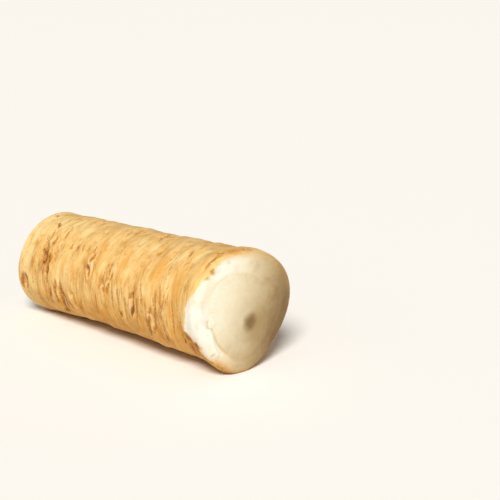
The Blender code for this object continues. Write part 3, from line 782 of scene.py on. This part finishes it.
def looseMarks():
    # cracks, flakes and patches strewn over the side that the front's own lists don't cover
    chance = random.Random(11)
    count, spreadAlong, spreadAround = root["loose"]
    firstAlong, lastAlong, firstAngle, lastAngle = root["backSpan"]
    crackCount, flakeCount, tintCount = root["strewn"]

    def anywhere():
        return chance.uniform(firstAlong, lastAlong), chance.uniform(firstAngle, lastAngle) % 360

    def shortLine(middle, side, half, lean=0.0, sway=0.3):
        # three points of a line that runs round the root
        return tuple((middle + lean * k + chance.uniform(-sway, sway), side + half * k) for k in (-1, 0, 1))

    cracks, flakes, tints = [], [], []
    for scar in root["hiddenScars"]:
        for _ in range(count):
            middle = scar[0] * 1000 + chance.uniform(-1, 1) * spreadAlong * 1000
            side = scar[1] + chance.uniform(-1, 1) * math.degrees(spreadAround / root["meanRadius"])
            half = chance.uniform(4, 11)
            points = shortLine(middle, side, half, chance.uniform(-0.8, 0.8))
            cracks.append((chance.uniform(0.6, 1.2), 0.34, chance.uniform(0.40, 0.85), points))
        middle = scar[0] * 1000 + chance.uniform(-0.8, 0.8)
        points = shortLine(middle, scar[1], chance.uniform(4, 8))
        flakes.append((chance.uniform(0.8, 1.4), 0.20, chance.uniform(0.5, 0.9), points))
        tints.append((scar[0] * 1000, scar[1], scar[3] * 900, scar[2] * 550, chance.uniform(0.2, 0.5)))
    for _ in range(crackCount):
        middle, side = anywhere()
        half = chance.uniform(3, 9)
        points = shortLine(middle, side, half, chance.uniform(-1.0, 1.0))
        cracks.append((chance.uniform(0.6, 1.2), 0.25, chance.uniform(0.25, 0.7), points))
    for _ in range(flakeCount):
        middle, side = anywhere()
        points = shortLine(middle, side, chance.uniform(3, 8), sway=0.4)
        flakes.append((chance.uniform(0.8, 1.4), 0.16, chance.uniform(0.3, 0.7), points))
    for _ in range(tintCount):
        middle, side = anywhere()
        amount = chance.choice((-0.6, 0.7)) * chance.uniform(0.6, 1.0)
        tints.append((middle, side, chance.uniform(1.4, 3.2), chance.uniform(2.5, 6.0), amount))
    return cracks, flakes, tints


def tintAt(along, angle, tints):
    # orange above 0, pale below
    tint = 0.0
    for middle, side, halfAlong, halfAround, amount in tints:
        around = turnFrom(angle, side) * root["meanRadius"] * 1000
        if abs(around) < 2 * halfAround:
            out = math.hypot((along * 1000 - middle) / halfAlong, around / halfAround)
            tint += amount * bell(out, 0.85)
    return tint


def barkMarks(along, angle, near):
    # height, stain and flakes that all scars, cracks and flakes near a point give it
    scars, cracks, flakes = near
    height = stain = light = 0.0
    for scar in scars:
        scarHeight, scarStain, scarLight = scarMarks(along, angle, scar)
        height += scarHeight
        stain = max(stain, scarStain)
        light = max(light, scarLight)
    for crack in cracks:
        deep, wide = pathMarks(along, angle, crack)
        height -= deep * crack["height"] / 1000
        stain = max(stain, wide * crack["strength"])
    for flake in flakes:
        deep, wide = pathMarks(along, angle, flake)
        height += deep * flake["height"] / 1000
        light = max(light, wide * flake["strength"])
    return height, stain, light


def acrossCut(share, degrees):
    # a spot of the cut, in metres from its middle
    turn = math.radians(degrees)
    reach = share * root["thickRadius"]
    return Vector((reach * math.cos(turn), reach * math.sin(turn)))


def tearMarks(share, angle):
    # height in metres and painted light, from -1 for painted shadow to 1 for painted highlight, that the
    # tears by the ring give a point of the cut
    spot = acrossCut(share, math.degrees(angle))
    sway, size = root["tearSway"]
    spot += Vector((sway, sway)) * noise.noise(spot.to_3d() / size)
    height = light = 0.0
    for rise, width, paintedLightAmount, points in marks["tears"]:
        nearest = 1e9
        for start, end in zip(points, points[1:]):
            step = end - start
            part = min(1.0, max(0.0, (spot - start).dot(step) / step.length_squared))
            nearest = min(nearest, (spot - start - step * part).length)
        height += rise / 1000 * bell(nearest, width / 1000)
        light += paintedLightAmount * bell(nearest, width / 1000)
    return height, light


def cutMarks(share, angle):
    # height of the ring's groove, the pith's dimple and the fine grain on a cut
    depth, width = root["cambiumGroove"]
    height = -depth * bell(share - roundTable(marks["ring"], angle), width)
    spot = acrossCut(share, math.degrees(angle))
    pithWidth, pithDepth = root["pithDimple"]
    height -= pithDepth * bell((spot - acrossCut(*marks["pith"])).length, pithWidth)
    return height + grit(spot.to_3d(), (root["cutGrain"],))


def cutToneAndShade(share, angle):
    # from about -1, the whitest flesh, to 1, the brownest: the lean across and down is painted shade, the
    # rind's whiteness the flesh's own
    across, up, rind = root["cutShadeAndRind"]
    lean = share * (across * math.cos(angle) + up * math.sin(angle))
    outside = smoothStep(-0.01, 0.05, share - roundTable(marks["ring"], angle))
    rind *= 1 - 0.8 * facing(angle, 60, 2)
    return lean - rind * outside * (1 - smoothStep(-0.15, 0.25, lean))


def rimTanAndShade(share, angle):
    # the rim's tan: partly the flesh's own, partly painted shade where the edge turns away from the light
    inner, outer = root["rimReach"]
    inner -= sum(wider * facing(angle, towards, power) for wider, towards, power in root["rimWider"])
    return roundTable(root["rimTanAndShade"], angle) * smoothStep(inner, outer, share)


def shaped(along, share, angle, rise, carved):
    # where a point of the blank ends up on the root; rise is the bark's relief, carved the cut's
    length = root["length"]
    radius = share * (bodyRadius(along, angle) + rise)
    y = radius * math.cos(angle)
    z = radius * math.sin(angle)
    x = along
    for (across, up), toCut in ((root["thickLean"], length - along), (root["thinLean"], along)):
        x += (across * y + up * z) * max(0.0, 1 - toCut / root["leanReach"])
    if along == length:
        cutShare = share / rimShare(root["thickEdge"], root["thickRadius"])
        x += root["thickDome"] * (1 - cutShare**2) + carved
    if along == 0.0:
        cutShare = share / rimShare(root["thinEdge"], root["thinRadius"])
        x -= root["thinDome"] * (1 - cutShare**2) + carved
    ripeness = along / length
    z -= root["sag"] * (1 - (2 * ripeness - 1) ** 2) + root["droop"] * ripeness**2
    return Vector((x - length / 2, y, z))


def edgeRows(edge, radius, rows):
    # distance from the cut and share of the radius round a rounded edge, from the side to the cut
    sweep = math.radians(root["edgeSweep"])
    points = []
    for row in range(rows + 1):
        turn = sweep * row / rows
        inset = edge[0] * (1 - math.sin(turn) / math.sin(sweep))
        points.append((inset, 1 - edge[1] / radius * (1 - math.cos(turn))))
    return points


def blankProfile():
    length = root["length"]
    thinEdge, thickEdge = root["thinEdge"], root["thickEdge"]
    thinRim = rimShare(thinEdge, root["thinRadius"])
    thickRim = rimShare(thickEdge, root["thickRadius"])
    side = length - thinEdge[0] - thickEdge[0]
    thinRows, thickRows = root["thinFaceRows"], root["thickFaceRows"]
    profile = [(0.0, 0.0)]
    profile += [(0.0, thinRim * row / thinRows) for row in range(1, thinRows)]
    profile += reversed(edgeRows(thinEdge, root["thinRadius"], root["thinEdgeRows"]))
    profile += [(thinEdge[0] + side * row / root["sideRows"], 1.0) for row in range(1, root["sideRows"])]
    thickPoints = edgeRows(thickEdge, root["thickRadius"], root["thickEdgeRows"])
    profile += [(length - inset, share) for inset, share in thickPoints]
    profile += [(length, thickRim * row / thickRows) for row in range(thickRows - 1, 0, -1)]
    profile += [(length, 0.0)]
    return profile


def turnBlank(bm):
    points = [bm.verts.new((along, share, 0.0)) for along, share in blankProfile()]
    edges = [bm.edges.new(pair) for pair in zip(points, points[1:])]
    bmesh.ops.spin(
        bm,
        geom=points + edges,
        cent=(0.0, 0.0, 0.0),
        axis=(1.0, 0.0, 0.0),
        angle=2 * math.pi,
        steps=root["sides"],
        use_merge=True,
    )
    bmesh.ops.remove_doubles(bm, verts=bm.verts, dist=1e-6)
    bmesh.ops.recalc_face_normals(bm, faces=bm.faces)
    bm.verts.index_update()


def onBlank(place):
    # distance along, share of the radius and angle of a point of the blank, with its ends exactly flat
    along, y, z = place
    if along > root["length"] - 1e-6:
        along = root["length"]
    if along < 1e-6:
        along = 0.0
    return along, math.hypot(y, z), math.atan2(z, y)


def edgeFade(along):
    return min(1.0, along / root["thinFade"], (root["length"] - along) / root["thickFade"])


def plainSkin():
    # the root without its marks, to meet rays, with where each corner of its faces lay on the blank
    bm = bmesh.new()
    turnBlank(bm)
    blank = [vert.co.copy() for vert in bm.verts]
    for vert in bm.verts:
        along, share, angle = onBlank(vert.co)
        vert.co = shaped(along, share, angle, edgeFade(along) * ringHeight(along, angle), 0.0)
    layDown(bm)
    places = [vert.co.copy() for vert in bm.verts]
    faces = [[vert.index for vert in face.verts] for face in bm.faces]
    bm.free()
    return {"tree": BVHTree.FromPolygons(places, faces), "places": places, "faces": faces, "blank": blank}


def seenAt(skin, pixel):
    # the spot of the root at a pixel of the photo: mm along, degrees and share of the radius
    reach = math.tan(math.radians(view["fieldOfView"] / 2))
    across, down = (reach * (value / (view["photoWidth"] / 2) - 1) for value in pixel)
    ray = Vector((across, -down, -1.0))
    ray.rotate(cameraTurn())
    hit, _, index, _ = skin["tree"].ray_cast(Vector(view["place"]), ray)
    if hit is None:
        raise ValueError(f"the root isn't at pixel {pixel}")
    corners = skin["faces"][index]
    weights = poly_3d_calc([skin["places"][corner] for corner in corners], hit)
    spot = sum((skin["blank"][corner] * weight for corner, weight in zip(corners, weights)), Vector())
    return spot.x * 1000, math.degrees(math.atan2(spot.z, spot.y)) % 360, math.hypot(spot.y, spot.z)


def placeMarks():
    # the marks by their places on the root: those given by pixels are where the camera's rays meet it
    skin = plainSkin()

    def alongAndTurn(pixels):
        return tuple(seenAt(skin, pixel)[:2] for pixel in pixels)

    def acrossAndTurn(pixel):
        _, degrees, share = seenAt(skin, pixel)
        return share, degrees

    def traced(rows):
        return [(*form, alongAndTurn(pixels)) for *form, pixels in rows]

    scars = list(root["hiddenScars"])
    for pixel, *form in root["seenScars"]:
        along, degrees = alongAndTurn([pixel])[0]
        scars.append((along / 1000, degrees, *form, 0.0))
    cracks, flakes, tints = looseMarks()
    cracks += [root["topLine"]] + traced(root["cracks"])
    flakes += traced(root["flakes"])
    tints += root["broadTints"]
    tints += [(*alongAndTurn([pixel])[0], *form) for pixel, *form in root["tints"]]
    edge = [(degrees, along) for along, degrees in alongAndTurn(root["seenSkinEdge"])]
    ring = [acrossAndTurn(pixel)[::-1] for pixel in root["seenRing"]]
    tears = []
    for *form, pixels in root["cutTears"]:
        tears.append((*form, [acrossCut(*acrossAndTurn(pixel)) for pixel in pixels]))
    return {
        "scars": scars,
        "cracks": [tracedPath(crack) for crack in cracks],
        "flakes": [tracedPath(flake) for flake in flakes],
        "tints": tints,
        "skinEdge": tuple(sorted(edge + list(root["hiddenSkinEdge"]))),
        "ring": tuple(sorted(ring + list(root["hiddenRing"]))),
        "tears": tears,
        "pith": acrossAndTurn(root["pithPixel"]),
        "halo": acrossAndTurn(root["haloPixel"]),
    }


# what the material knows of each point: its distance in mm inside the bark and outside the ring, its marks,
# the height of the rings, and the cut's colours, with their painted shade and the tears' painted light
pointValues = ("bark", "ring", "stain", "flake", "tint", "rise", "tone", "tannedShadedRim", "tear")


def shapeRoot(bm):
    length, mean = root["length"], root["meanRadius"]
    placeLayer = bm.verts.layers.float_vector.new("place")
    layers = {name: bm.verts.layers.float.new(name) for name in pointValues}
    nearRow = {}  # the marks that can touch each row of points
    for vert in bm.verts:
        along, share, angle = onBlank(vert.co)
        row = round(along * 1e5)
        if row not in nearRow:
            spot = along * 1000
            nearRow[row] = (
                [scar for scar in marks["scars"] if abs(along - scar[0]) < 2.5 * scar[3]],
                [path for path in marks["cracks"] if path["along"][0] < spot < path["along"][1]],
                [path for path in marks["flakes"] if path["along"][0] < spot < path["along"][1]],
                [tint for tint in marks["tints"] if abs(spot - tint[0]) < 2 * tint[2]],
            )
        bark = barkReach(along, share, angle)
        onBark = smoothStep(*root["skinBevel"], bark)
        kept = smoothStep(*root["marksEnd"], share)
        markHeight, stain, light = (kept * part for part in barkMarks(along, angle, nearRow[row][:3]))
        rings = ringHeight(along, angle)
        rise = edgeFade(along) * (rings + markHeight) - root["skinStep"] * (1 - onBark)
        # the tears' light is painted highlight and shadow
        tear, tearPaintedLight = tearMarks(share, angle) if along == length else (0.0, 0.0)
        carved = tear + cutMarks(share, angle if along == length else math.pi - angle)
        vert[placeLayer] = Vector((along, share * mean * math.cos(angle), share * mean * math.sin(angle)))
        fromRing = share - roundTable(marks["ring"], angle)
        tint = tintAt(along, angle, nearRow[row][3])
        tone, tannedShadedRim = cutToneAndShade(share, angle), rimTanAndShade(share, angle)
        found = (bark * 1000, fromRing * mean * 1000, stain, light, tint, rings * 1000, tone, tannedShadedRim, tearPaintedLight)
        for name, value in zip(pointValues, found):
            vert[layers[name]] = value
        vert.co = shaped(along, share, angle, rise, carved)


def layDown(bm):
    # tips the root until it rests near both ends, flattens its feet and puts it in the CAD box's middle
    places = sorted((vert.co for vert in bm.verts), key=lambda place: place.z)
    thinFoot = next(place for place in places if place.x < -root["length"] / 4)
    thickFoot = next(place for place in places if place.x > root["length"] / 4)
    tip = math.atan2(thickFoot.z - thinFoot.z, thickFoot.x - thinFoot.x)
    bmesh.ops.rotate(bm, verts=bm.verts, cent=(0.0, 0.0, 0.0), matrix=Matrix.Rotation(tip, 3, "Y"))
    lowest = min(vert.co.z for vert in bm.verts)
    for vert in bm.verts:
        vert.co.z = max(0.0, vert.co.z - lowest - root["restDepth"])
    low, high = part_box("root")
    for axis in range(2):
        found = [vert.co[axis] for vert in bm.verts]
        shift = (low[axis] + high[axis]) / 2 - (min(found) + max(found)) / 2
        for vert in bm.verts:
            vert.co[axis] += shift
    print("tip", round(math.degrees(tip), 3))


def makeRoot():
    bm = bmesh.new()
    turnBlank(bm)
    shapeRoot(bm)
    layDown(bm)
    mesh = bpy.data.meshes.new("horseradishRoot")
    bm.to_mesh(mesh)
    bm.free()
    mesh.shade_smooth()
    piece = bpy.data.objects.new("horseradishRoot", mesh)
    bpy.context.scene.collection.objects.link(piece)
    return piece


marks = placeMarks()
print("marks placed:", ", ".join(f"{len(marks[kind])} {kind}" for kind in ("cracks", "flakes", "tints")))
rootPiece = makeRoot()
print("root shaped:", len(rootPiece.data.polygons), "faces")

# The root's bark and flesh

finish = {
    # colours from the darkest hollow of the bark to its palest ridge
    "barkRamp": (
        (0.00, (190, 132, 60)),
        (0.25, (216, 165, 90)),
        (0.50, (231, 186, 113)),
        (0.75, (238, 197, 126)),
        (1.00, (243, 207, 141)),
    ),
    "orange": (226, 168, 82),
    "pale": (245, 217, 152),
    "blush": (242, 198, 154),
    "line": (184, 134, 64),
    "thread": (248, 216, 158),
    "scarBrown": (182, 120, 46),
    "scarDark": (122, 72, 20),
    "flakeLight": (240, 202, 150),
    "edgeGlow": (244, 214, 142),
    "edgeBrown": (188, 128, 66),
    # painted shade: the underside's bark darker and browner
    "undersideShade": (255, 239, 190),  # what the bark's colour is times on the underside
    # colours of the flesh by its tone, from the whitest to the brownest, the brown end mostly painted shade
    "fleshAndShadeRamp": (
        (-1.00, (253, 251, 238)),
        (-0.60, (248, 241, 217)),
        (-0.30, (238, 224, 192)),
        (0.00, (218, 200, 163)),
        (0.30, (195, 171, 127)),
        (0.55, (165, 136, 94)),
        (0.80, (140, 113, 74)),
    ),
    # painted highlight on the tears' ridges
    "tearHighlight": (254, 252, 240),
    # real stain by the scars, and painted shadow in the tears' grooves
    "fleshStainAndShadow": (206, 176, 124),
    # the rim's tan, partly painted shade
    "rimTanAndShade": (217, 178, 118),
    "ringLine": (234, 210, 162),
    "halo": (172, 142, 96),
    "pithBrown": (136, 103, 58),
    "lilac": (243, 233, 228),
    "speck": (226, 214, 194),
    "veil": (248, 241, 228),
    "thinned": (253, 228, 190),
    "barkRoughness": 0.56,
    "fleshRoughness": 0.50,
    "shine": 0.35,
    "bumpStrength": 0.8,
    # noises: length of a grain in mm along the root and round it, offset, detail and roughness
    "grains": {
        "sway": (6, 7, 2.0, 2.0, 0.5),
        "ripple": (1.6, 2.2, 6.0, 2.0, 0.5),
        "patches": (5.0, 12.0, 3.1, 3.0, 0.50),
        "hoops": (1.2, 20.0, 44.0, 2.0, 0.50),
        "broad": (2.0, 6.0, 1.3, 3.0, 0.55),
        "fine": (0.8, 2.8, 5.9, 2.0, 0.5),
        "specks": (0.45, 0.6, 9.2, 2.0, 0.6),
        "blotches": (2.0, 3.0, 61.0, 3.0, 0.60),
        "calm": (7.0, 11.0, 50.0, 2.0, 0.5),
        "orange": (4.2, 8.5, 7.7, 4.0, 0.60),
        "pale": (3.4, 7.0, 27.0, 4.0, 0.60),
        "chips": (1.2, 4.5, 18.3, 3.0, 0.55),
        "lines": (1.3, 14.0, 12.4, 2.0, 0.55),
        "clusters": (3.0, 8.0, 15.0, 3.0, 0.6),
        "ticks": (0.55, 1.6, 24.0, 2.0, 0.55),
        "threads": (1.5, 11.0, 33.0, 2.0, 0.55),
        "threadPlaces": (4.0, 8.0, 37.0, 3.0, 0.6),
        "crumbs": (0.9, 1.5, 47.0, 3.0, 0.65),
        "torn": (0.50, 1.0, 21.0, 3.0, 0.65),
        "mottle": (1.6, 1.6, 31.0, 4.0, 0.62),
        "cloud": (6, 6, 35.0, 3.0, 0.5),
        "fibres": (0.5, 0.5, 38.0, 2.0, 0.5),
        "ragged": (0.9, 1.8, 41.0, 3.0, 0.65),
    },
}


def over(tree, colour, mask, name, way="MIX"):
    # a colour with one of the finish's colours over it, as far as the mask says
    return blended(tree, mask, colour, paint(finish[name]), way)


def warped(tree, place):
    # the same place, swayed along the root so that no streak runs quite straight
    sway = scaled(tree, grainNoise(tree, place, "sway"), 0.0026, 0.5)
    ripple = scaled(tree, grainNoise(tree, place, "ripple"), 0.0009, 0.5)
    shift = feedAll(tree, addNode(tree, "ShaderNodeCombineXYZ"), total(tree, sway, ripple))
    return vectors(tree, "ADD", place, shift[0])


def thinLines(tree, field, width):
    # lines where a noise passes its middle
    return eased(tree, sums(tree, "ABSOLUTE", sums(tree, "SUBTRACT", field, 0.5)), 0.0, width, 1.0, 0.0)


def barkColour(tree, place, bark, rise, stain, flake, tint):
    # the bark's colour, and the height in mm of its fine relief
    swayed = warped(tree, place)
    along, _, up = alongAcrossUp(tree, place)
    patches = grainNoise(tree, swayed, "patches")
    hoops = grainNoise(tree, swayed, "hoops")
    broad = grainNoise(tree, swayed, "broad")
    fine = grainNoise(tree, swayed, "fine")
    grain = grainNoise(tree, place, "specks")
    # streaks run round the lower half, blotches cover the top
    streaky = eased(tree, up, 0.015, 0.001, 0.30, 1.0)
    blotches = grainNoise(tree, place, "blotches")
    # calm stretches of bark between livelier ones
    lively = eased(tree, grainNoise(tree, place, "calm"), 0.40, 0.60, 0.50, 1.10)
    detail = total(
        tree,
        product(tree, scaled(tree, hoops, 1.2, 0.5), streaky),
        product(tree, scaled(tree, broad, 0.9, 0.5), streaky),
        product(tree, scaled(tree, blotches, 1.5, 0.5), sums(tree, "SUBTRACT", 1.1, streaky)),
        scaled(tree, fine, 0.5, 0.5),
        scaled(tree, grain, 0.5, 0.5),
    )
    patchy = product(tree, scaled(tree, patches, 1.8, 0.5), eased(tree, streaky, 0.3, 1.0, 0.65, 1.0))
    tone = total(tree, patchy, product(tree, detail, lively), product(tree, rise, streaky, 0.5), 0.5)
    colour = ramped(tree, tone, finish["barkRamp"])

    # patches of orange and of pale bark, those that the lists place and others by chance, with painted light
    # on the top and painted shade on the underside
    orangeField = grainNoise(tree, swayed, "orange")
    ripeness = eased(tree, along, 0.015, 0.100)
    uneven = product(tree, scaled(tree, orangeField, 1.0, 0.5), total(tree, scaled(tree, ripeness, 1.8), 1.8))
    orange = total(tree, tint, uneven, scaled(tree, ripeness, 0.24))
    colour = over(tree, colour, eased(tree, orange, 0.15, 0.95, 0.0, 0.85), "orange")
    paleField = grainNoise(tree, swayed, "pale")
    # painted light: the top of the root paler where the light falls on it
    paintedTopLight = eased(tree, up, 0.012, 0.020, 0.0, 0.32)
    tip = eased(tree, along, 0.016, 0.003, 0.0, 0.60)
    pale = total(tree, scaled(tree, tint, -1.0), scaled(tree, paleField, 2.0, 0.5), paintedTopLight, tip)
    colour = over(tree, colour, eased(tree, pale, 0.15, 0.95, 0.0, 0.70), "pale")
    # painted shade: the bark darker and browner on the underside
    undersideShadeMask = product(tree, eased(tree, up, 0.001, -0.010), eased(tree, along, 0.006, 0.022, 0.3, 1.0))
    colour = over(tree, colour, undersideShadeMask, "undersideShade", "MULTIPLY")

    # pinkish chips, and thin dark lines and ticks in clusters
    chipped = eased(tree, grainNoise(tree, swayed, "chips"), 0.58, 0.70)
    colour = over(tree, colour, scaled(tree, chipped, 0.40), "blush")
    lines = thinLines(tree, grainNoise(tree, swayed, "lines"), 0.026)
    clusterField = total(tree, grainNoise(tree, place, "clusters"), scaled(tree, streaky, 0.10, 0.7))
    clusters = eased(tree, clusterField, 0.43, 0.58)
    ticks = eased(tree, grainNoise(tree, swayed, "ticks"), 0.62, 0.73)
    marked = sums(tree, "MAXIMUM", product(tree, lines, clusters, 0.75), product(tree, ticks, clusters, 0.75))
    threads = thinLines(tree, grainNoise(tree, swayed, "threads"), 0.030)
    threadPlaces = eased(tree, grainNoise(tree, place, "threadPlaces"), 0.45, 0.60)
    threaded = product(tree, threads, threadPlaces, 0.45)
    colour = over(tree, colour, threaded, "thread")
    colour = over(tree, colour, marked, "line")

    # thin yellow bark by the upper border of the cut, brown bark by the lower one
    border = eased(tree, bark, 2.6, 0.2)
    glow = product(tree, border, eased(tree, up, -0.006, -0.002), eased(tree, up, 0.021, 0.017, 0.0, 0.55))
    colour = over(tree, colour, glow, "edgeGlow")
    low = product(tree, eased(tree, up, -0.003, -0.009), eased(tree, along, 0.05, 0.09))
    crumbs = grainNoise(tree, place, "crumbs")
    scorch = product(tree, eased(tree, bark, 5.5, 0.5), low, eased(tree, crumbs, 0.46, 0.62, 0.10, 0.95))
    colour = over(tree, colour, scorch, "edgeBrown")
    rosy = product(tree, eased(tree, bark, 4.0, 0.5), low, eased(tree, crumbs, 0.44, 0.34, 0.0, 0.55))
    colour = over(tree, colour, rosy, "blush")

    # the flakes, and the brown of scars and cracks, with torn outlines
    torn = grainNoise(tree, swayed, "torn")
    light = total(tree, flake, scaled(tree, torn, -1.2, 0.5))
    flaked = product(tree, eased(tree, light, 0.15, 0.70), eased(tree, flake, 0.03, 0.20))
    colour = over(tree, colour, scaled(tree, flaked, 0.75), "flakeLight")
    brown = total(tree, stain, scaled(tree, torn, 1.3, 0.5))
    seen = eased(tree, stain, 0.03, 0.20)
    stained = product(tree, eased(tree, brown, 0.12, 0.62), seen)
    darkened = product(tree, eased(tree, brown, 0.62, 1.05), seen)
    colour = over(tree, colour, scaled(tree, stained, 0.85), "scarBrown")
    colour = over(tree, colour, scaled(tree, darkened, 0.85), "scarDark")

    height = total(
        tree,
        scaled(tree, broad, 0.16),
        scaled(tree, hoops, 0.10),
        scaled(tree, fine, 0.07),
        scaled(tree, grain, 0.05),
        scaled(tree, chipped, 0.04),
        scaled(tree, threaded, 0.05),
        scaled(tree, marked, -0.10),
        scaled(tree, stained, -0.12),
        scaled(tree, flaked, 0.10),
        product(tree, scaled(tree, torn, 0.45, 0.5), sums(tree, "MAXIMUM", seen, flaked)),
    )
    return colour, height


def pithDistance(tree, place, mottle, share, degrees):
    # uneven distance in mm from a spot of the thick cut, or from its mirrored spot of the thin one
    distances = []
    for along, turn in ((root["length"], math.radians(degrees)), (0.0, math.pi - math.radians(degrees))):
        radius = share * root["meanRadius"]
        spot = (along, radius * math.cos(turn), radius * math.sin(turn))
        distances.append(vectors(tree, "DISTANCE", place, spot))
    nearest = sums(tree, "MINIMUM", *distances)
    return total(tree, product(tree, nearest, 1000.0), scaled(tree, mottle, 1.6, 0.5))


def fleshColour(tree, place, ring, tone, tannedShadedRim, tear, stain):
    # the bare flesh's colour, and the height in mm of its fine relief
    _, across, up = alongAcrossUp(tree, place)
    mottle = grainNoise(tree, place, "mottle")
    cloud = grainNoise(tree, place, "cloud")
    fibres = grainNoise(tree, place, "fibres")
    # the tone's lean across the cut is painted shade
    lean = total(tree, tone, scaled(tree, cloud, 0.30, 0.5), scaled(tree, mottle, 0.18, 0.5))
    colour = ramped(tree, lean, finish["fleshAndShadeRamp"])
    # the rind: lilac clouds and grey specks
    ringWave = total(tree, ring, scaled(tree, mottle, 1.4, 0.5))
    outside = eased(tree, ringWave, 0.2, 2.8)
    lilac = product(tree, eased(tree, cloud, 0.48, 0.62), outside, 0.75)
    colour = over(tree, colour, lilac, "lilac", "MULTIPLY")
    specks = product(tree, eased(tree, fibres, 0.60, 0.74), outside, 0.55)
    colour = over(tree, colour, specks, "speck", "MULTIPLY")
    # the rind's upper part is less white than its lower one
    corner = product(tree, eased(tree, up, 0.001, 0.008), eased(tree, across, -0.010, -0.016))
    veil = product(tree, corner, eased(tree, ringWave, -0.6, 0.8))
    colour = over(tree, colour, veil, "veil", "MULTIPLY")
    # the ring, drawn by a broken line and by fine ticks that point to the middle
    outwards = vectors(tree, "NORMALIZE", vectors(tree, "MULTIPLY", place, (0.0, 1.0, 1.0)))
    broken = eased(tree, noiseAt(tree, outwards, 2.2, 2.0), 0.38, 0.62, 0.25, 1.0)
    rays = eased(tree, noiseAt(tree, outwards, 32.0, 2.0), 0.46, 0.62)
    line = product(tree, eased(tree, sums(tree, "ABSOLUTE", ringWave), 0.0, 1.0, 1.0, 0.0), broken)
    inside = product(tree, eased(tree, ring, 0.6, -0.4), eased(tree, ring, -4.2, -1.6))
    rayMask = product(tree, eased(tree, rays, 0.0, 1.0, 0.25, 1.0), inside, broken)
    clear = eased(tree, tone, 0.30, -0.10, 0.25, 1.0)
    ringMask = sums(tree, "MAXIMUM", scaled(tree, line, 0.32), scaled(tree, rayMask, 0.34))
    ringMask = product(tree, ringMask, clear)
    colour = over(tree, colour, ringMask, "ringLine", "MULTIPLY")
    # growth rings of the core, faint and close
    growth = noiseAt(tree, total(tree, ring, scaled(tree, cloud, 3.0, 0.5)), 0.7, 3.0, dimensions="1D")
    shade = eased(tree, growth, 0.3, 0.7, 0.982, 1.008)
    grey = feedAll(tree, addNode(tree, "ShaderNodeCombineColor"), shade, shade, shade)[0]
    colour = blended(tree, 1.0, colour, grey, "MULTIPLY")
    # the tears' painted highlights and shadows, the rim's tan and painted shade, and the scars that reach the
    # cut
    colour = over(tree, colour, eased(tree, tear, 0.0, 1.0, 0.0, 0.85), "tearHighlight")
    colour = over(tree, colour, eased(tree, tear, 0.0, -1.0, 0.0, 0.60), "fleshStainAndShadow")
    colour = over(tree, colour, tannedShadedRim, "rimTanAndShade")
    colour = over(tree, colour, eased(tree, stain, 0.1, 0.7, 0.0, 0.7), "fleshStainAndShadow")
    # the pith with its soft halo
    halo = pithDistance(tree, place, mottle, *marks["halo"])
    colour = over(tree, colour, eased(tree, halo, 0.5, 8.0, 0.72, 0.0), "halo")
    core = pithDistance(tree, place, mottle, *marks["pith"])
    colour = over(tree, colour, eased(tree, core, 0.8, 3.9, 0.92, 0.0), "pithBrown")
    height = total(
        tree,
        scaled(tree, mottle, 0.08),
        scaled(tree, ringMask, -0.03),
        scaled(tree, growth, 0.03),
    )
    return colour, height


def rootMaterial():
    material, tree, inputs = newMaterial("horseradish")
    place = attribute(tree, "place", "Vector")
    values = (attribute(tree, name, "Fac") for name in pointValues)
    bark, ring, stain, flake, tint, rise, tone, tannedShadedRim, tear = values
    skin, skinHeight = barkColour(tree, place, bark, rise, stain, flake, tint)
    flesh, fleshHeight = fleshColour(tree, place, ring, tone, tannedShadedRim, tear, stain)
    # the torn border below, where the skin thins out over the flesh
    _, across, up = alongAcrossUp(tree, place)
    low = product(tree, eased(tree, up, -0.003, -0.009), eased(tree, across, -0.002, -0.010))
    thinned = product(tree, eased(tree, bark, -3.0, 0.0), low, 0.85)
    flesh = over(tree, flesh, thinned, "thinned", "MULTIPLY")
    ragged = grainNoise(tree, place, "ragged")
    cover = eased(tree, total(tree, bark, scaled(tree, ragged, 1.8, 0.5)), -0.65, 0.55)
    feed(tree, inputs["Base Color"], blended(tree, cover, flesh, skin))
    roughness = eased(tree, cover, 0.0, 1.0, finish["fleshRoughness"], finish["barkRoughness"])
    feed(tree, inputs["Roughness"], roughness)
    feed(tree, inputs["Specular IOR Level"], finish["shine"])
    relief = addNode(tree, "ShaderNodeMix", data_type="FLOAT")
    feed(tree, relief.inputs[0], cover)
    feed(tree, relief.inputs[2], fleshHeight)
    feed(tree, relief.inputs[3], skinHeight)
    bump = addNode(tree, "ShaderNodeBump")
    feed(tree, bump.inputs["Strength"], finish["bumpStrength"])
    feed(tree, bump.inputs["Distance"], 0.001)  # the heights are in mm
    feed(tree, bump.inputs["Height"], relief.outputs[0])
    feed(tree, inputs["Normal"], bump.outputs["Normal"])
    return material


rootPiece.data.materials.append(rootMaterial())
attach(rootPiece, "root")
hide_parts("root")
print("root finished")
